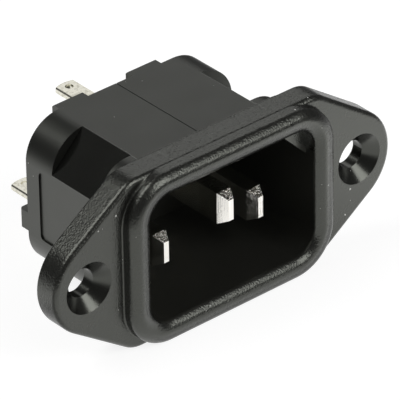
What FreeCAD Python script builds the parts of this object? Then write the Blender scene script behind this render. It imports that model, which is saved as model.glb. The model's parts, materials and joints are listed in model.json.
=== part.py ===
"""IEC 60320 C14 mains inlet for front mounting, with screw ears and rear solder tabs.

Frame in millimetres: X along the two fixing ears (right, seen from the front), Y from the
mating face to the terminals, Z up with the earth pin on top. The origin lies midway between
the two fixing holes, on the back of the flange, where the inlet bears on its panel.
"""

import FreeCAD, Part
import os
import math
import Sketcher

doc = FreeCAD.newDocument("c14_panel_inlet")
V = FreeCAD.Vector


# ---------------------------------------------------------------- driving dimensions

sheet = doc.addObject("Spreadsheet::Sheet", "dimensions")

DIMENSIONS = {
    # flange with its two ears
    "flange_thickness": 3.3,
    "flange_height": 22.12,
    "flange_corner_radius": 3.8,
    "flange_edge_radius": 0.6,
    "flange_back_radius": 0.25,
    "hole_spacing": 40.0,
    "ear_reach": 4.8,
    "ear_radius": 6.45,
    "ear_angle": 34.9,
    # countersunk fixing holes
    "screw_hole": 3.5,
    "countersink": 6.4,
    "countersink_angle": 90.0,
    "hole_back_chamfer": 0.35,
    # proud rim round the mating cavity
    "rim_width": 30.2,
    "rim_height": 22.04,
    "rim_proud": 1.55,
    "rim_corner_radius": 5.7,
    "rim_edge_radius": 0.8,
    "rim_foot_radius": 0.2,
    "mouth_edge_radius": 0.7,
    # mating cavity
    "cavity_width": 24.4,
    "cavity_height": 16.6,
    "cavity_corner_radius": 2.9,
    "cavity_depth": 17.5,
    "key_chamfer": 4.4,
    "key_setback": 2.0,
    # body behind the panel
    "body_width": 26.7,
    "body_height": 19.4,
    "body_depth": 15.65,
    "body_corner_radius": 4.9,
    "body_cut": 4.6,
    "collar_length": 4.6,
    "land_length": 2.65,
    "land_corner_radius": 3.9,
    # line left by the two halves of the mould, along the top of the body
    "mould_line_width": 0.14,
    "mould_line_depth": 0.06,
    # marking field sunk in the left side wall
    "field_height": 9.0,
    "field_back_margin": 2.2,
    "field_corner_radius": 0.6,
    "field_sink": 0.2,
    # lugs on the rear edge
    "lug_depth": 1.2,
    "lug_chamfer": 0.3,
    "top_lug_length": 1.3,
    "top_lug_width": 4.2,
    "left_top_lug_offset": 6.2,
    "right_top_lug_offset": 4.6,
    "side_lug_length": 1.5,
    "side_lug_height": 2.4,
    "side_lug_offset": 3.2,
    # contacts
    "pin_width": 2.0,
    "pin_height": 4.0,
    "pin_pitch": 14.0,
    "pin_offset": 2.0,
    "pin_recess": 3.8,
    "earth_lead": 3.0,
    "pin_point_length": 1.3,
    "pin_point_bevel": 0.65,
    "pin_clearance": 0.04,
    "root_thickness": 0.8,
    "root_clearance": 0.15,
    "root_recess": 2.0,
    "tab_width": 2.8,
    "tab_thickness": 0.8,
    "tab_level": 5.1,
    "tab_length": 9.3,
    "tab_end_radius": 3.5,
    "tab_bend_radius": 0.2,
    "tab_edge_bevel": 0.15,
    "tab_hole": 1.0,
    "tab_hole_inset": 0.8,
}

for row, (name, value) in enumerate(DIMENSIONS.items(), start=1):
    sheet.set(f"A{row}", name)
    sheet.set(f"B{row}", str(value))
    sheet.setAlias(f"B{row}", name)
doc.recompute()


def size(name):
    """The expression that reads one driving dimension."""
    return f"dimensions.{name}"


def half(name):
    """The expression for half of one driving dimension."""
    return f"dimensions.{name} / 2"


# Depths along Y, measured from the back of the flange.
RIM_FACE = f"({size('flange_thickness')} + {size('rim_proud')})"
CAVITY_FLOOR = f"({size('cavity_depth')} - {RIM_FACE})"
COLLAR_START = f"({size('body_depth')} - {size('collar_length')})"
ROOT_FACE = f"({size('body_depth')} - {size('root_recess')})"

# Where the tapering edges of the two ears would meet if they ran on to a point.
EAR_POINT = (
    f"({half('hole_spacing')} + {size('ear_reach')} - {size('ear_radius')}"
    f" + {size('ear_radius')} / sin({size('ear_angle')}))"
)
FLANGE_CORNER = f"({EAR_POINT} - {half('flange_height')} / tan({size('ear_angle')}))"


# ---------------------------------------------------------------- sketching helpers

def plane_sketch(body, name, role, offset=None):
    """A sketch on an origin plane of its body, moved along the plane's normal by offset."""
    sketch = body.newObject("Sketcher::SketchObject", name)
    plane = next(f for f in body.Origin.OriginFeatures if f.Role == role)
    sketch.AttachmentSupport = [(plane, "")]
    sketch.MapMode = "FlatFace"
    if offset:
        sketch.setExpression("AttachmentOffset.Base.z", offset)
    return sketch


def front_sketch(body, name, depth="0"):
    """A sketch seen from the front, in the plane Y = depth; its normal points forward."""
    return plane_sketch(body, name, "XZ_Plane", f"-1 * {depth}")


def pin_point(sketch, geometry, position, x, y):
    """Hold one point of the sketch at the place that two expressions give."""
    for kind, value in (("DistanceX", x), ("DistanceY", y)):
        present = float(sketch.evalExpression(value))
        index = sketch.addConstraint(Sketcher.Constraint(kind, -1, 1, geometry, position, present))
        sketch.setExpression(f"Constraints[{index}]", value)


def outline(sketch, corners):
    """Close a convex loop of straight sides, each corner (x, y) or (x, y, radius).

    The corners run anticlockwise and are expressions of where the sides cross; a radius
    rounds its corner with an arc tangent to both sides.
    """
    points = [V(*(float(sketch.evalExpression(e)) for e in corner[:2]), 0) for corner in corners]
    count = len(corners)
    starts, ends, arcs = {}, {}, {}
    for i, corner in enumerate(corners):
        starts[i] = ends[i] = points[i]
        if len(corner) == 2:
            continue
        to_last = (points[i - 1] - points[i]).normalize()
        to_next = (points[(i + 1) % count] - points[i]).normalize()
        radius = float(sketch.evalExpression(corner[2]))
        half_angle = to_last.getAngle(to_next) / 2
        centre = points[i] + (to_last + to_next).normalize() * (radius / math.sin(half_angle))
        ends[i] = points[i] + to_last * (radius / math.tan(half_angle))
        starts[i] = points[i] + to_next * (radius / math.tan(half_angle))
        first, last = (math.atan2(p.y - centre.y, p.x - centre.x) for p in (ends[i], starts[i]))
        arcs[i] = Part.ArcOfCircle(Part.Circle(centre, V(0, 0, 1), radius), first, last)
    sides = [
        sketch.addGeometry(Part.LineSegment(starts[i], ends[(i + 1) % count]))
        for i in range(count)
    ]
    for i, corner in enumerate(corners):
        before, after = sides[i - 1], sides[i]
        if i not in arcs:
            sketch.addConstraint(Sketcher.Constraint("Coincident", before, 2, after, 1))
            pin_point(sketch, after, 1, *corner)
            continue
        arc = sketch.addGeometry(arcs[i])
        sketch.addConstraint(Sketcher.Constraint("Tangent", before, 2, arc, 1))
        sketch.addConstraint(Sketcher.Constraint("Tangent", arc, 2, after, 1))
        radius = sketch.addConstraint(Sketcher.Constraint("Radius", arc, arcs[i].Radius))
        sketch.setExpression(f"Constraints[{radius}]", corner[2])
        crossing = sketch.addGeometry(Part.Point(points[i]), True)
        pin_point(sketch, crossing, 1, *corner[:2])
        for side in (before, after):
            sketch.addConstraint(Sketcher.Constraint("PointOnObject", crossing, 1, side))


def box_corners(left, bottom, right, top, radius=None):
    """The corners of a rectangle, anticlockwise from its lower left, for outline()."""
    corners = [(left, bottom), (right, bottom), (right, top), (left, top)]
    return [corner + (radius,) for corner in corners] if radius else corners


def circle(sketch, x, y, diameter):
    """A circle with its centre and diameter given by expressions."""
    place = V(*(float(sketch.evalExpression(e)) for e in (x, y)), 0)
    radius = float(sketch.evalExpression(diameter)) / 2
    ring = sketch.addGeometry(Part.Circle(place, V(0, 0, 1), radius))
    pin_point(sketch, ring, 3, x, y)
    index = sketch.addConstraint(Sketcher.Constraint("Diameter", ring, 2 * radius))
    sketch.setExpression(f"Constraints[{index}]", diameter)


# ---------------------------------------------------------------- feature helpers

SAME_PLACE = 1e-4


def near(a, b):
    """Whether two lengths agree closely enough to mean the same place on a solid."""
    return abs(a - b) < SAME_PLACE


def number(expression):
    """The present value of an expression over the sheet."""
    return float(sheet.evalExpression(expression))


def extrude(body, kind, name, sketch, length, turned=False, both_ways=False):
    """Pad or pocket a sketch by a bound length, and insist that it changed the solid.

    A pad grows along the sketch's normal and a pocket cuts against it, unless turned.
    """
    before = body.Shape.Volume if body.Tip else 0.0
    feature = body.newObject(f"PartDesign::{kind}", name)
    feature.Profile = sketch
    feature.setExpression("Length", length)
    feature.Reversed = turned
    feature.Midplane = both_ways
    doc.recompute()
    grown = body.Shape.Volume - before
    if grown * (1 if kind == "Pad" else -1) <= 0:
        raise RuntimeError(f"{name} left the solid as it was")
    return feature


def edges_where(feature, test):
    """The names of the feature's edges whose every end and middle pass the test."""
    names = []
    for index, edge in enumerate(feature.Shape.Edges, start=1):
        first, last = edge.ParameterRange
        samples = [edge.valueAt(first + (last - first) * share) for share in (0, 0.5, 1)]
        if all(test(point) for point in samples):
            names.append(f"Edge{index}")
    return names


def dress(body, kind, name, edges, amount):
    """Fillet or chamfer the named edges of the body's tip by a bound radius or size."""
    base, before = body.Tip, body.Shape.Volume
    feature = body.newObject(f"PartDesign::{kind}", name)
    feature.Base = (base, edges)
    feature.setExpression("Radius" if kind == "Fillet" else "Size", amount)
    doc.recompute()
    if near(body.Shape.Volume, before):
        raise RuntimeError(f"{name} left the solid as it was")
    return feature


# ---------------------------------------------------------------- contacts in cross-section

# Each contact: its name, the X of its middle, and whether it lies above the middle of the
# inlet (1) or below it (-1).
CONTACTS = (
    ("line_contact", f"-1 * {half('pin_pitch')}", -1),
    ("neutral_contact", half("pin_pitch"), -1),
    ("earth_contact", "0", 1),
)


def pin_section(x, level, clearance="0"):
    """The pin's cross-section, widened by a clearance all round."""
    width = f"({half('pin_width')} + {clearance})"
    height = f"({half('pin_height')} + {clearance})"
    middle = f"{level} * {size('pin_offset')}"
    return box_corners(
        f"{x} - {width}", f"{middle} - {height}", f"{x} + {width}", f"{middle} + {height}")


def root_section(x, level, clearance="0"):
    """The upright root that joins the pin to its tab, from the pin's inner edge outward."""
    width = f"({half('tab_width')} + {clearance})"
    inner = f"{level} * ({size('pin_offset')} - {half('pin_height')} - {clearance})"
    outer = f"{level} * ({size('tab_level')} + {half('tab_thickness')} + {clearance})"
    bottom, top = (inner, outer) if level > 0 else (outer, inner)
    return box_corners(f"{x} - {width}", bottom, f"{x} + {width}", top)


# ---------------------------------------------------------------- housing

def both_signs(x, y, radius):
    """The four corners of a rectangle about the origin, from its half sizes."""
    return box_corners(f"-1 * {x}", f"-1 * {y}", x, y, radius)


def keyed_corners(x, y, key, radius):
    """A rectangle about the origin with its upper corners cut off and its lower ones rounded."""
    left, bottom = f"-1 * {x}", f"-1 * {y}"
    return [
        (left, bottom, radius),
        (x, bottom, radius),
        (x, f"{y} - {key}"),
        (f"{x} - {key}", y),
        (f"{left} + {key}", y),
        (left, f"{y} - {key}"),
    ]


def add_flange(body):
    """The plate with its tapering ears and the rim that stands proud of it."""
    sketch = front_sketch(body, "flange_outline")
    top, corner = half("flange_height"), size("flange_corner_radius")
    outline(sketch, [
        (f"-1 * {FLANGE_CORNER}", f"-1 * {top}", corner),
        (FLANGE_CORNER, f"-1 * {top}", corner),
        (EAR_POINT, "0", size("ear_radius")),
        (FLANGE_CORNER, top, corner),
        (f"-1 * {FLANGE_CORNER}", top, corner),
        (f"-1 * {EAR_POINT}", "0", size("ear_radius")),
    ])
    plate = extrude(body, "Pad", "flange", sketch, size("flange_thickness"))
    ear_face = -number(size("flange_thickness"))
    edges = edges_where(plate, lambda p: near(p.y, ear_face))
    dress(body, "Fillet", "flange_front_edge", edges, size("flange_edge_radius"))
    edges = edges_where(body.Tip, lambda p: near(p.y, 0))
    dress(body, "Fillet", "flange_back_edge", edges, size("flange_back_radius"))

    sketch = front_sketch(body, "rim_outline")
    outline(sketch, both_signs(half("rim_width"), half("rim_height"), size("rim_corner_radius")))
    rim = extrude(body, "Pad", "rim", sketch, RIM_FACE)
    rim_face = -number(RIM_FACE)
    edges = edges_where(rim, lambda p: near(p.y, rim_face))
    dress(body, "Fillet", "rim_front_edge", edges, size("rim_edge_radius"))
    rim_side = number(half("rim_width"))
    edges = edges_where(body.Tip, lambda p: near(p.y, ear_face) and near(abs(p.x), rim_side))
    dress(body, "Fillet", "rim_foot", edges, size("rim_foot_radius"))


def add_body(body):
    """The box behind the panel: a full land, a shell with cut upper corners and a full collar."""
    x, y, corner = half("body_width"), half("body_height"), size("body_corner_radius")
    sketch = front_sketch(body, "shell_outline")
    outline(sketch, keyed_corners(x, y, size("body_cut"), corner))
    extrude(body, "Pad", "shell", sketch, COLLAR_START, turned=True)

    sketch = front_sketch(body, "land_outline")
    left, bottom, land = f"-1 * {x}", f"-1 * {y}", size("land_corner_radius")
    outline(sketch, [(left, bottom, corner), (x, bottom, corner), (x, y, land), (left, y, land)])
    extrude(body, "Pad", "land", sketch, size("land_length"), turned=True)

    sketch = front_sketch(body, "collar_outline", COLLAR_START)
    outline(sketch, both_signs(x, y, corner))
    extrude(body, "Pad", "collar", sketch, size("collar_length"), turned=True)


def cut_mould_line(body):
    """The fine line left where the mould halves met, along the middle of the body's top."""
    sketch = front_sketch(body, "mould_line_outline", size("body_depth"))
    side, top = half("mould_line_width"), half("body_height")
    outline(sketch, box_corners(
        f"-1 * {side}", f"{top} - {size('mould_line_depth')}", side, f"{top} + {side}"))
    extrude(body, "Pocket", "mould_line", sketch, size("body_depth"), turned=True)


def cut_cavity(body):
    """The mating cavity: a rounded mouth, then the keyed socket that a connector enters."""
    x, y, corner = half("cavity_width"), half("cavity_height"), size("cavity_corner_radius")
    sketch = front_sketch(body, "mouth_outline", f"-1 * {RIM_FACE}")
    outline(sketch, both_signs(x, y, corner))
    extrude(body, "Pocket", "mouth", sketch, size("key_setback"))

    sketch = front_sketch(body, "cavity_outline", f"-1 * {RIM_FACE}")
    outline(sketch, keyed_corners(x, y, size("key_chamfer"), corner))
    cavity = extrude(body, "Pocket", "cavity", sketch, size("cavity_depth"))
    rim_face, reach = -number(RIM_FACE), number(half("cavity_width")) + SAME_PLACE
    edges = edges_where(cavity, lambda p: near(p.y, rim_face) and abs(p.x) < reach)
    dress(body, "Fillet", "mouth_edge", edges, size("mouth_edge_radius"))


def cut_fixing_holes(body):
    """A countersunk screw hole in each ear, relieved at the panel side."""
    sketch = front_sketch(body, "hole_centres", f"-1 * {size('flange_thickness')}")
    for side in ("-1 * ", ""):
        circle(sketch, f"{side}{half('hole_spacing')}", "0", size("screw_hole"))
    doc.recompute()
    before = body.Shape.Volume
    holes = body.newObject("PartDesign::Hole", "fixing_holes")
    holes.Profile = sketch
    holes.DepthType = "ThroughAll"
    holes.HoleCutType = "Countersink"
    holes.HoleCutCustomValues = True
    holes.setExpression("Diameter", size("screw_hole"))
    holes.setExpression("HoleCutDiameter", size("countersink"))
    holes.setExpression("HoleCutCountersinkAngle", size("countersink_angle"))
    doc.recompute()
    if body.Shape.Volume >= before:
        raise RuntimeError("the fixing holes cut nothing")
    centre, bore = number(half("hole_spacing")), number(half("screw_hole"))
    edges = edges_where(
        holes,
        lambda p: near(p.y, 0) and near(math.hypot(abs(p.x) - centre, p.z), bore))
    dress(body, "Chamfer", "hole_backs", edges, size("hole_back_chamfer"))


def add_lugs(body):
    """Short lugs that carry the outer walls past the rear edge, two above and one each side."""
    rear, depth = size("body_depth"), size("lug_depth")
    side, top = half("body_width"), half("body_height")
    sketch = front_sketch(body, "top_lugs_outline", rear)
    for middle in (f"-1 * {size('left_top_lug_offset')}", size("right_top_lug_offset")):
        left, right = (f"{middle} {sign} {half('top_lug_width')}" for sign in "-+")
        outline(sketch, box_corners(left, f"{top} - {depth}", right, top))
    lugs = extrude(body, "Pad", "top_lugs", sketch, size("top_lug_length"), turned=True)
    end, level = number(f"{rear} + {size('top_lug_length')}"), number(top)
    edges = edges_where(lugs, lambda p: near(p.y, end) and near(p.z, level))
    dress(body, "Chamfer", "top_lug_ends", edges, size("lug_chamfer"))

    sketch = front_sketch(body, "side_lugs_outline", rear)
    bottom = f"-1 * {size('side_lug_offset')} - {half('side_lug_height')}"
    for left, right in ((f"-1 * {side}", f"-1 * {side} + {depth}"), (f"{side} - {depth}", side)):
        outline(sketch, box_corners(left, bottom, right, f"{bottom} + {size('side_lug_height')}"))
    lugs = extrude(body, "Pad", "side_lugs", sketch, size("side_lug_length"), turned=True)
    end, wall = number(f"{rear} + {size('side_lug_length')}"), number(side)
    edges = edges_where(lugs, lambda p: near(p.y, end) and near(abs(p.x), wall))
    dress(body, "Chamfer", "side_lug_ends", edges, size("lug_chamfer"))


def sink_field(body):
    """A shallow recess, rounded at its corners, for the markings on the left side wall."""
    sketch = plane_sketch(body, "field_outline", "YZ_Plane", f"-1 * {half('body_width')}")
    side = half("field_height")
    far = f"{size('body_depth')} - {size('field_back_margin')}"
    outline(sketch, box_corners(
        size("land_length"), f"-1 * {side}", far, side, size("field_corner_radius")))
    extrude(body, "Pocket", "marking_field", sketch, size("field_sink"), turned=True)


def cut_contact_seats(body):
    """Slots that the pins pass through, and the recesses in the rear that seat their roots."""
    sketch = front_sketch(body, "pin_slots_outline", size("body_depth"))
    for _, x, level in CONTACTS:
        outline(sketch, pin_section(x, level, size("pin_clearance")))
    wall = f"{size('body_depth')} - {CAVITY_FLOOR}"
    extrude(body, "Pocket", "pin_slots", sketch, wall, turned=True)

    sketch = front_sketch(body, "root_recess_outline", size("body_depth"))
    for _, x, level in CONTACTS:
        outline(sketch, root_section(x, level, size("root_clearance")))
    extrude(body, "Pocket", "root_recesses", sketch, size("root_recess"), turned=True)


# ---------------------------------------------------------------- contacts

def tab_outline(sketch, x, end):
    """A tab that runs back from the root's face to a gently rounded end."""
    left, right = f"{x} - {half('tab_width')}", f"{x} + {half('tab_width')}"
    corners = [(left, end), (left, ROOT_FACE), (right, ROOT_FACE), (right, end)]
    points = [V(*(float(sketch.evalExpression(e)) for e in corner), 0) for corner in corners]
    sides = [sketch.addGeometry(Part.LineSegment(*pair)) for pair in zip(points, points[1:])]
    for before, after in zip(sides, sides[1:]):
        sketch.addConstraint(Sketcher.Constraint("Coincident", before, 2, after, 1))
    for side, corner in zip(sides, corners):
        pin_point(sketch, side, 1, *corner)
    pin_point(sketch, sides[-1], 2, *corners[-1])

    radius = number(size("tab_end_radius"))
    reach = (points[3] - points[0]).Length / 2
    centre = (points[3] + points[0]) / 2 - V(0, math.sqrt(radius**2 - reach**2), 0)
    swing = math.asin(reach / radius)
    circle_edge = Part.Circle(centre, V(0, 0, 1), radius)
    arc = sketch.addGeometry(Part.ArcOfCircle(circle_edge, math.pi / 2 - swing, math.pi / 2 + swing))
    sketch.addConstraint(Sketcher.Constraint("Coincident", sides[-1], 2, arc, 1))
    sketch.addConstraint(Sketcher.Constraint("Coincident", arc, 2, sides[0], 1))
    index = sketch.addConstraint(Sketcher.Constraint("Radius", arc, radius))
    sketch.setExpression(f"Constraints[{index}]", size("tab_end_radius"))


def make_contact(name, x, level):
    """One stamped contact: blade pin with a coined point, upright root and solder tab."""
    body = doc.addObject("PartDesign::Body", name)
    body.Label = name
    lead = size("earth_lead") if name == "earth_contact" else "0"
    tip = f"({size('pin_recess')} - {RIM_FACE} - {lead})"
    shoulder = f"({tip} + {size('pin_point_length')})"
    root_back = f"({ROOT_FACE} + {size('root_thickness')})"

    sketch = front_sketch(body, "pin_outline", shoulder)
    outline(sketch, pin_section(x, level))
    extrude(body, "Pad", "pin", sketch, f"{root_back} - {shoulder}", turned=True)

    point = front_sketch(body, "point_outline", tip)
    outline(point, pin_section(x, level, f"-1 * {size('pin_point_bevel')}"))
    base = front_sketch(body, "point_base_outline", shoulder)
    outline(base, pin_section(x, level))
    loft = body.newObject("PartDesign::AdditiveLoft", "point")
    loft.Profile = point
    loft.Sections = [base]
    loft.Ruled = True
    doc.recompute()

    sketch = front_sketch(body, "root_outline", ROOT_FACE)
    outline(sketch, root_section(x, level))
    extrude(body, "Pad", "root", sketch, size("root_thickness"), turned=True)

    sketch = plane_sketch(body, "tab_outline", "XY_Plane", f"{level} * {size('tab_level')}")
    end = f"({size('body_depth')} + {size('tab_length')})"
    tab_outline(sketch, x, end)
    circle(sketch, x, f"{end} - {size('tab_hole_inset')}", size("tab_hole"))
    extrude(body, "Pad", "tab", sketch, size("tab_thickness"), both_ways=True)

    outer = number(f"{size('tab_level')} + {half('tab_thickness')}")
    inner = number(f"{size('tab_level')} - {half('tab_thickness')}")
    front, back = number(ROOT_FACE), number(root_back)
    outside = edges_where(body.Tip, lambda p: near(p.y, front) and near(abs(p.z), outer))
    bend = f"{size('tab_bend_radius')} + {size('tab_thickness')}"
    dress(body, "Fillet", "bend_outside", outside, bend)
    inside = edges_where(body.Tip, lambda p: near(p.y, back) and near(abs(p.z), inner))
    dress(body, "Fillet", "bend_inside", inside, size("tab_bend_radius"))

    middle, side = number(x), number(half("tab_width"))
    long_edges = edges_where(
        body.Tip,
        lambda p: p.y > back and near(abs(p.x - middle), side)
        and (near(abs(p.z), outer) or near(abs(p.z), inner)))
    dress(body, "Chamfer", "tab_edges", long_edges, size("tab_edge_bevel"))
    return body


# ---------------------------------------------------------------- build, check and export

def make_housing():
    """The one-piece moulding that carries the flange, the cavity and the contacts."""
    body = doc.addObject("PartDesign::Body", "housing")
    body.Label = "housing"
    add_flange(body)
    add_body(body)
    cut_mould_line(body)
    add_lugs(body)
    sink_field(body)
    cut_cavity(body)
    cut_contact_seats(body)
    cut_fixing_holes(body)
    return body


parts = [make_housing()]
for contact in CONTACTS:
    parts.append(make_contact(*contact))

doc.recompute()
for thing in doc.Objects:
    if {"Invalid", "Error"} & set(thing.State):
        raise RuntimeError(f"{thing.Name} failed to compute")
for part in parts:
    if part.Shape.isNull() or not part.Shape.isValid() or len(part.Shape.Solids) != 1:
        raise RuntimeError(f"{part.Label} is not one valid solid")

os.makedirs("parts", exist_ok=True)
for part in parts:
    part.Shape.exportStep(f"parts/{part.Label}.step")
    print(part.Label, round(part.Shape.Volume, 2), part.Shape.BoundBox)
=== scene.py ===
"""Looks of a black IEC 60320 C14 panel inlet with bright plated contacts, built round its CAD."""

import json
import math

import bpy
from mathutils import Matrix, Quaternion, Vector


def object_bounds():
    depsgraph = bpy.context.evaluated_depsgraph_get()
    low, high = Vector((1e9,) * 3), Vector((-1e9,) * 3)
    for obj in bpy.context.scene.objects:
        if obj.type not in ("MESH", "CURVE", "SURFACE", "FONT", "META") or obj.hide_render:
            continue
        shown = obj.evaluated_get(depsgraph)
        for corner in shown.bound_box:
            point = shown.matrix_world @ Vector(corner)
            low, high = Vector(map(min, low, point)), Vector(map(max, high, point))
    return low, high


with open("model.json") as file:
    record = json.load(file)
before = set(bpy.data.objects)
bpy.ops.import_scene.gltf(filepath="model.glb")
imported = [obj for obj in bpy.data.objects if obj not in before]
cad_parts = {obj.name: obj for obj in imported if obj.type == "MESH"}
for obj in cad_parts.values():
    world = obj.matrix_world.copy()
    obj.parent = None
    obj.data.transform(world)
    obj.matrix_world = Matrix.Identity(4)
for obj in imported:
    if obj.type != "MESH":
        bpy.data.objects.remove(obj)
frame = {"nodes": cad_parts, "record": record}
CAD_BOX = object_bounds()
MM = 0.001

CONTACTS = ("line_contact", "neutral_contact", "earth_contact")
MOUNTS = {mount["name"]: mount for mount in frame["record"]["mounts"]}
HOLE_X = MOUNTS["fixing_holes"]["dims"]["spacing_x_mm"] / 2


# ---------------------------------------------------------------- places on the inlet

# Each pair holds two values of a coordinate, in millimetres of the shared frame: a look is absent
# at the first and full at the second.
FLANGE_BACK = (0.05, -0.05)  # y, in front of the flange's back
EAR_FACE = (-3.31, -3.25)  # y, behind the front face of the ears
RIM_FOOT = (-3.6, -4.0)  # y, out on the rim
CAVITY_SIDE = (12.55, 12.35)  # |x|, inside the cavity
CAVITY_HEIGHT = (8.65, 8.45)  # |z|, inside the cavity
CAVITY_KEYS = (17.0, 16.6)  # |x| + z, inside the cavity's two cut upper corners
CAVITY_MOUTH = (-4.6, -4.2)  # y, behind the rounding of the mouth
COUNTERSINK = (3.2, 3.12)  # distance from a fixing hole's axis
COLLAR = (11.05, 11.03)  # y, in front of the rear collar
CUT_CORNER = (0.08, 0.04)  # distance from CUT_PLANE
CUT_PLANE = 18.45  # |x| + z on the two cut upper corners of the body

POINT = (0.3, 0.2)  # y, on a contact's coined point
EARTH_EDGES = (1.3, 1.2)  # |x|, on the earth contact and no other
TAB = (10.0, 11.0)  # y, on a solder tab

# Rounded rectangles: half the width, half the height and the corner radius.
RIM_OUTLINE = (15.1, 11.02, 5.7)
MOUTH_OUTLINE = (12.2, 8.3, 2.9)
RIM_HALF = 1.25  # half the width of the rim's crowned face
RIM_BLUR = 0.02


# ---------------------------------------------------------------- looks

def colour(red, green, blue):
    return (red, green, blue, 1.0)


def grey(level):
    return colour(level, level, level)


# How high each relief stands, in millimetres, and the fine grain's strength.
CROWN = 0.19
GRAIN = 0.029
FINE_GRAIN = 0.02
FINE_STRENGTH = 0.10
EARTH_TILT = 0.14
DRAWN_LINES = 0.03
MOTTLING = 0.14

# Sizes of the noises, in cells per millimetre.
GRAIN_SCALE = 4.6
FINE_SCALE = 30.0
SPECKLE_SCALE = 6.5
DUST_SCALE = 2.6
HAZE_SCALE = 0.35
MOTTLE_SCALE = 5.0
CLOUD_SCALE = 1.2
TARNISH_SCALE = 2.0
PAPER_SCALE = 0.05
LINE_SCALES = (7.0, 7.0, 0.35)  # drawn out along y

# Values of a noise between which its mark fades in.
SPECKLE = (0.35, 0.75)
DUST = (0.875, 0.89)
MOTTLE = (0.42, 0.58)
TARNISH = (0.45, 0.7)

# Shares of the surface's normal between which a look fades in.
FACING_FRONT = (0.4, 0.95)  # |y|
FACING_UP = (0.2, 0.4)  # z

# How strongly the lighter specks, partly the grain and partly painted glints off it, show on the
# grained sides and on the grained front.
GLINT_ON_SIDES, GLINT_ON_FRONT = 0.5, 0.2

NYLON_ROUGHNESS = {"body": 0.36, "grained": 0.27, "cut corner": 0.12, "countersink": 0.22,
                   "cavity": 0.30}
NYLON_HAZE = 0.06
NYLON_IOR = 1.5
NYLON_SPECULAR = 0.9
NYLON_TINT = colour(0.97, 1.0, 0.90)
NYLON_COLOURS = colour(0.0055, 0.0055, 0.0050), colour(0.0075, 0.0075, 0.0068)
# The same nylon, painted paler inside the cavity: painted light standing for the light that reaches
# in.
CAVITY_PAINTED_LIGHT = colour(0.022, 0.022, 0.019)
# Lighter specks in the grain: the grain's own pattern, painted brighter as glints off its slopes.
GRAIN_GLINT_COLOUR = colour(0.040, 0.040, 0.037)
DUST_COLOUR = colour(0.75, 0.75, 0.72)

PLATE_ROUGHNESS = {"rest": 0.14, "point": 0.07}
PLATE_HAZE = 0.05
PLATE_COLOURS = colour(0.90, 0.88, 0.82), colour(0.98, 0.96, 0.91)
TAB_COLOURS = colour(0.80, 0.78, 0.68), colour(0.55, 0.53, 0.45)
MOTTLE_COLOUR = colour(0.30, 0.28, 0.24)
LINES_ON_POINT, LINES_ON_EARTH = 0.9, 0.25
MOTTLE_BASE, MOTTLE_ON_TOP = 0.03, 0.95

# The floor's pool of light, seen only in reflections: it fades in round the inlet, is dimmer in a
# gap to the left of the inlet and brighter to its right. Pairs of millimetres, then the share.
POOL = (110.0, 45.0)
GAP_X, GAP_Y, GAP_SHARE = (-16.0, -30.0), (12.0, 6.0), 0.25
RIGHT_X, RIGHT_SHARE = (10.0, 35.0), 1.5
GLOSSY_GLOW = 0.80

VISIBLE_GLOW = 0.85
GLOSSY_DIMMING = 0.6
PAPER_SEEN = grey(0.30), grey(0.32)
PAPER_UNSEEN = grey(0.86), grey(0.90)
FLOOR_HALF = 2.0  # metres
FLOOR_GAP = 0.02  # millimetres below the inlet, so that no two faces share a plane
ROOM_LIGHT = 0.09

# Each lamp: name, azimuth and elevation in degrees, distance, width and height in metres, and
# radiance.
LAMPS = (
    ("back_right_softbox", 140.0, 33.0, 0.9, 0.38, 0.34, 0.86),
    ("top_left_softbox", -121.0, 58.0, 0.9, 0.60, 0.55, 3.0),
    ("front_softbox", 20.0, 36.0, 0.9, 0.54, 0.64, 3.6),
)

CAMERA_AZIMUTH, CAMERA_ELEVATION, CAMERA_ROLL = -40.352, 32.333, -0.890
CAMERA_DISTANCE = 525.628 * MM
CAMERA_LENS = 422.69
CAMERA_SENSOR = 36.0
CAMERA_CLIP = (0.01, 10.0)
CAMERA_AIM = Vector((-0.878, 0.25, 1.666)) * MM


# ---------------------------------------------------------------- node helpers

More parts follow.
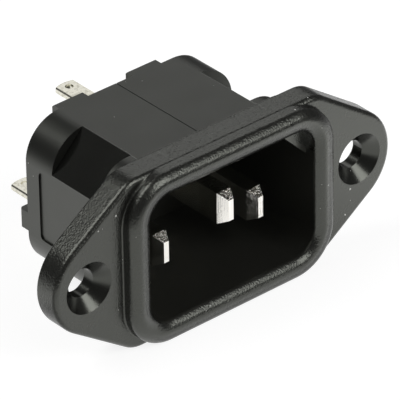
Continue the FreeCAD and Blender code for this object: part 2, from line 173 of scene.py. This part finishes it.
class Graph:
    """Builds a material's node tree; sockets and plain numbers can both be inputs."""

    def __init__(self, name):
        self.material = bpy.data.materials.new(name)
        self.material.use_nodes = True
        self.tree = self.material.node_tree
        self.tree.nodes.clear()

    def node(self, kind, inputs=(), **settings):
        made = self.tree.nodes.new(kind)
        for key, value in settings.items():
            setattr(made, key, value)
        for key, value in dict(inputs).items():
            self.feed(made.inputs[key], value)
        return made

    def feed(self, socket, value):
        if isinstance(value, bpy.types.NodeSocket):
            self.tree.links.new(value, socket)
        else:
            socket.default_value = value

    def math(self, operation, *values):
        made = self.node("ShaderNodeMath", operation=operation)
        for socket, value in zip(made.inputs, values):
            self.feed(socket, value)
        return made.outputs[0]

    def product(self, first, *others):
        for other in others:
            first = self.math("MULTIPLY", first, other)
        return first

    def length(self, across, up):
        squares = [self.math("POWER", part, 2.0) for part in (across, up)]
        return self.math("SQRT", self.math("ADD", *squares))

    def step(self, value, start, end):
        """0 up to start and 1 from end on, with a smooth ramp between; end may be the smaller."""
        made = self.node("ShaderNodeMapRange", {"Value": value, "From Min": start, "From Max": end},
                         interpolation_type="SMOOTHSTEP")
        return made.outputs["Result"]

    def mix(self, share, first, second):
        made = self.node("ShaderNodeMix", {0: share, 2: first, 3: second}, data_type="FLOAT")
        return made.outputs[0]

    def mix_colour(self, share, first, second):
        made = self.node("ShaderNodeMix", {0: share, 6: first, 7: second}, data_type="RGBA")
        return made.outputs[2]

    def scaled(self, vector, factors):
        made = self.node("ShaderNodeVectorMath", {0: vector, 1: factors}, operation="MULTIPLY")
        return made.outputs[0]

    def place(self):
        """The object's own coordinates in millimetres, as a vector and its x, y and z."""
        coords = self.node("ShaderNodeTexCoord").outputs["Object"]
        place = self.scaled(coords, (1 / MM,) * 3)
        split = self.node("ShaderNodeSeparateXYZ", {0: place})
        return place, split.outputs["X"], split.outputs["Y"], split.outputs["Z"]

    def facing(self, axis):
        """The part of the surface's normal that lies along one axis."""
        normal = self.node("ShaderNodeNewGeometry").outputs["Normal"]
        return self.node("ShaderNodeSeparateXYZ", {0: normal}).outputs[axis]

    def noise(self, vector, scale, detail=2.0, roughness=0.5):
        made = self.node("ShaderNodeTexNoise", {
            "Vector": vector, "Scale": scale, "Detail": detail, "Roughness": roughness})
        return made.outputs["Fac"]

    def bump(self, height, strength, distance, normal=None):
        inputs = {"Height": height, "Strength": strength, "Distance": distance * MM}
        if normal:
            inputs["Normal"] = normal
        return self.node("ShaderNodeBump", inputs).outputs["Normal"]

    def outside_of(self, x, z, half_width, half_height, corner):
        """Distance in millimetres outside a rounded rectangle about the origin, negative inside."""
        along = self.math("SUBTRACT", x, half_width - corner)
        up = self.math("SUBTRACT", z, half_height - corner)
        far = self.length(*(self.math("MAXIMUM", part, 0.0) for part in (along, up)))
        near = self.math("MINIMUM", self.math("MAXIMUM", along, up), 0.0)
        return self.math("SUBTRACT", self.math("ADD", far, near), corner)

    def surface(self, **inputs):
        named = {key.replace("_", " "): value for key, value in inputs.items()}
        shader = self.node("ShaderNodeBsdfPrincipled", named)
        return self.finished(shader)

    def finished(self, shader):
        self.node("ShaderNodeOutputMaterial", {"Surface": shader.outputs[0]})
        return self.material


# ---------------------------------------------------------------- the black moulding

def housing_zones(g, side, height, y, z):
    """Where the housing is inside its cavity, in a countersink, grained, or on a cut corner."""
    diagonal = g.math("ADD", side, z)
    inside = g.product(g.step(side, *CAVITY_SIDE), g.step(height, *CAVITY_HEIGHT),
                       g.step(y, *CAVITY_MOUTH), g.step(diagonal, *CAVITY_KEYS))
    from_axis = g.length(g.math("SUBTRACT", side, HOLE_X), z)
    in_hole = g.product(g.step(from_axis, *COUNTERSINK), g.step(y, *EAR_FACE))
    elsewhere = g.math("SUBTRACT", 1.0, g.math("MAXIMUM", inside, in_hole))
    grained = g.product(g.step(y, *FLANGE_BACK), elsewhere)
    from_cut = g.math("ABSOLUTE", g.math("SUBTRACT", diagonal, CUT_PLANE))
    on_cut = g.product(g.step(from_cut, *CUT_CORNER), g.step(y, *COLLAR))
    return inside, in_hole, grained, on_cut


def rim_crown(g, side, height, y):
    """A low wave across the rim's face, highest midway between its outer and its inner edge."""
    from_edge = g.math("MULTIPLY", g.outside_of(side, height, *RIM_OUTLINE), -1.0)
    from_mouth = g.outside_of(side, height, *MOUTH_OUTLINE)
    from_middle = g.math("MULTIPLY", g.math("SUBTRACT", from_mouth, from_edge), 0.5)
    wave = g.math("COSINE", g.math("MULTIPLY", from_middle, math.pi / RIM_HALF))
    on_face = g.step(g.math("ABSOLUTE", from_middle), RIM_HALF + RIM_BLUR, RIM_HALF - RIM_BLUR)
    return g.product(g.math("ADD", wave, 1.0), g.product(g.step(y, *RIM_FOOT), on_face))


def nylon_colour(g, place, haze, inside, grained):
    """Near black, with painted light making the cavity paler, lighter specks painted in the grain
    as its glints, and a few specks of dust.
    """
    shade = g.mix_colour(haze, *NYLON_COLOURS)
    # painted light: the cavity gets a paler colour than the rest of the same nylon
    shade = g.mix_colour(inside, shade, CAVITY_PAINTED_LIGHT)
    to_front = g.step(g.math("ABSOLUTE", g.facing("Y")), *FACING_FRONT)
    # painted glint: lighter specks follow the grain, stronger on the sides than on the front
    contrast = g.product(grained, g.mix(to_front, GLINT_ON_SIDES, GLINT_ON_FRONT))
    grain_glint = g.product(g.step(g.noise(place, SPECKLE_SCALE, detail=0.0), *SPECKLE), contrast)
    shade = g.mix_colour(grain_glint, shade, GRAIN_GLINT_COLOUR)
    dust = g.product(g.step(g.noise(place, DUST_SCALE, detail=0.0), *DUST),
                     g.math("SUBTRACT", 1.0, inside))
    return g.mix_colour(dust, shade, DUST_COLOUR)


def nylon_roughness(g, haze, inside, in_hole, grained, on_cut):
    roughness = NYLON_ROUGHNESS["body"]
    for zone, name in ((grained, "grained"), (on_cut, "cut corner"), (in_hole, "countersink"),
                       (inside, "cavity")):
        roughness = g.mix(zone, roughness, NYLON_ROUGHNESS[name])
    return g.math("ADD", roughness, g.product(g.math("SUBTRACT", haze, 0.5), NYLON_HAZE))


def housing_material():
    """Black glass-filled nylon: grained flange, smooth cavity, countersinks and body."""
    g = Graph("black_moulding")
    place, x, y, z = g.place()
    side, height = (g.math("ABSOLUTE", part) for part in (x, z))
    inside, in_hole, grained, on_cut = housing_zones(g, side, height, y, z)
    haze = g.noise(place, HAZE_SCALE, detail=3.0)

    crowned = g.bump(rim_crown(g, side, height, y), 1.0, CROWN)
    rough = g.bump(g.noise(place, GRAIN_SCALE, detail=0.0), grained, GRAIN, crowned)
    normal = g.bump(g.noise(place, FINE_SCALE, detail=1.0), FINE_STRENGTH, FINE_GRAIN, rough)
    return g.surface(Base_Color=nylon_colour(g, place, haze, inside, grained),
                     Roughness=nylon_roughness(g, haze, inside, in_hole, grained, on_cut),
                     Normal=normal, IOR=NYLON_IOR, Specular_IOR_Level=NYLON_SPECULAR,
                     Specular_Tint=NYLON_TINT)


# ---------------------------------------------------------------- the plated contacts

def plate_colour(g, place, y, cloud, mottled):
    """Bright plate, tarnished on the solder tabs and mottled on top of each point."""
    shade = g.mix_colour(cloud, *PLATE_COLOURS)
    tarnish = g.step(g.noise(place, TARNISH_SCALE, detail=3.0), *TARNISH)
    shade = g.mix_colour(g.step(y, *TAB), shade, g.mix_colour(tarnish, *TAB_COLOURS))
    return g.mix_colour(mottled, shade, MOTTLE_COLOUR)


def contact_material():
    """Bright nickel plate: drawn lines down the coined points, a mottled top to each point."""
    g = Graph("plated_contact")
    place, x, y, _ = g.place()
    on_point = g.step(y, *POINT)
    on_top = g.product(on_point, g.step(g.facing("Z"), *FACING_UP))
    lines = g.noise(g.scaled(place, LINE_SCALES), 1.0, detail=3.0, roughness=0.7)
    mottle = g.noise(place, MOTTLE_SCALE, roughness=0.6)
    cloud = g.noise(place, CLOUD_SCALE, detail=3.0)

    shade = plate_colour(g, place, y, cloud, g.product(on_top, g.step(mottle, *MOTTLE)))
    base = g.mix(on_point, PLATE_ROUGHNESS["rest"], PLATE_ROUGHNESS["point"])
    roughness = g.math("ADD", base, g.product(cloud, PLATE_HAZE))

    # each half of the earth point is tilted towards its middle
    middle = g.math("ABSOLUTE", x)
    on_earth = g.product(on_point, g.step(middle, *EARTH_EDGES))
    tilted = g.bump(middle, on_earth, EARTH_TILT)
    lined = g.product(on_point, g.mix(on_earth, LINES_ON_POINT, LINES_ON_EARTH))
    drawn = g.bump(lines, lined, DRAWN_LINES, tilted)
    mottling = g.math("ADD", MOTTLE_BASE, g.product(on_top, MOTTLE_ON_TOP))
    normal = g.bump(mottle, mottling, MOTTLING, drawn)
    return g.surface(Base_Color=shade, Metallic=1.0, Roughness=roughness, Normal=normal)


def dress(node, material):
    for slot in frame["nodes"][node].material_slots:
        slot.material = material


# ---------------------------------------------------------------- floor, lights and camera

def floor_material():
    """White to the eye with a faint shadow; in reflections a pale pool of light round the inlet."""
    g = Graph("studio_floor")
    place, x, y, _ = g.place()
    path = g.node("ShaderNodeLightPath")
    seen, mirrored = path.outputs["Is Camera Ray"], path.outputs["Is Glossy Ray"]

    gap = g.product(g.step(x, *GAP_X), g.step(g.math("ABSOLUTE", y), *GAP_Y))
    pool = g.product(g.step(g.length(x, y), *POOL), g.mix(gap, 1.0, GAP_SHARE),
                     g.mix(g.step(x, *RIGHT_X), 1.0, RIGHT_SHARE))
    glow = g.math("ADD", g.product(seen, VISIBLE_GLOW), g.product(mirrored, pool, GLOSSY_GLOW))

    paper = g.noise(place, PAPER_SCALE)
    bounced = g.mix_colour(g.product(mirrored, GLOSSY_DIMMING),
                           g.mix_colour(paper, *PAPER_UNSEEN), grey(0.0))
    tone = g.mix_colour(seen, bounced, g.mix_colour(paper, *PAPER_SEEN))
    matt = g.node("ShaderNodeBsdfDiffuse", {"Color": tone})
    light = g.node("ShaderNodeEmission", {"Color": grey(1.0), "Strength": glow})
    return g.finished(g.node("ShaderNodeAddShader", {0: matt.outputs[0], 1: light.outputs[0]}))


def make_floor():
    half = FLOOR_HALF
    z = CAD_BOX[0].z - FLOOR_GAP * MM
    corners = [(-half, -half, z), (half, -half, z), (half, half, z), (-half, half, z)]
    mesh = bpy.data.meshes.new("floor")
    mesh.from_pydata(corners, [], [(0, 1, 2, 3)])
    mesh.materials.append(floor_material())
    floor = bpy.data.objects.new("floor", mesh)
    bpy.context.scene.collection.objects.link(floor)


def set_world():
    """A white room to the eye; to the light and in reflections a dim studio."""
    world = bpy.data.worlds.new("studio")
    bpy.context.scene.world = world
    world.use_nodes = True
    tree = world.node_tree
    tree.nodes.clear()
    mix = tree.nodes.new("ShaderNodeMixShader")
    path = tree.nodes.new("ShaderNodeLightPath")
    tree.links.new(path.outputs["Is Camera Ray"], mix.inputs[0])
    for place, strength in ((1, ROOM_LIGHT), (2, 1.0)):
        room = tree.nodes.new("ShaderNodeBackground")
        room.inputs["Color"].default_value = grey(1.0)
        room.inputs["Strength"].default_value = strength
        tree.links.new(room.outputs[0], mix.inputs[place])
    out = tree.nodes.new("ShaderNodeOutputWorld")
    tree.links.new(mix.outputs[0], out.inputs["Surface"])


def direction(azimuth, elevation):
    """A unit vector away from the inlet; azimuth 0 is in front of it, 90 to its right."""
    a, e = math.radians(azimuth), math.radians(elevation)
    return Vector((math.sin(a) * math.cos(e), -math.cos(a) * math.cos(e), math.sin(e)))


def stand(name, data, outward, distance, aim=Vector(), roll=0.0):
    """Puts a lamp or a camera at a distance from the point it is aimed at."""
    obj = bpy.data.objects.new(name, data)
    obj.location = aim + outward * distance
    obj.rotation_mode = "QUATERNION"
    turn = Quaternion((0, 0, 1), math.radians(roll))
    obj.rotation_quaternion = outward.to_track_quat("Z", "Y") @ turn
    bpy.context.scene.collection.objects.link(obj)
    return obj


def softbox(name, azimuth, elevation, distance, width, height, radiance):
    """A rectangular lamp aimed at the inlet."""
    lamp = bpy.data.lights.new(name, "AREA")
    lamp.shape = "RECTANGLE"
    lamp.size, lamp.size_y = width, height
    lamp.energy = radiance * math.pi * width * height
    stand(name, lamp, direction(azimuth, elevation), distance)


def set_camera():
    camera = bpy.data.cameras.new("camera")
    camera.sensor_width = CAMERA_SENSOR
    camera.lens = CAMERA_LENS
    camera.clip_start, camera.clip_end = CAMERA_CLIP
    bpy.context.scene.camera = stand("camera", camera, direction(CAMERA_AZIMUTH, CAMERA_ELEVATION),
                                     CAMERA_DISTANCE, CAMERA_AIM, CAMERA_ROLL)


# ---------------------------------------------------------------- the scene

dress("housing", housing_material())
plate = contact_material()
for contact in CONTACTS:
    dress(contact, plate)

make_floor()
set_world()
for lamp in LAMPS:
    softbox(*lamp)
set_camera()

bpy.context.scene.view_settings.view_transform = "Standard"
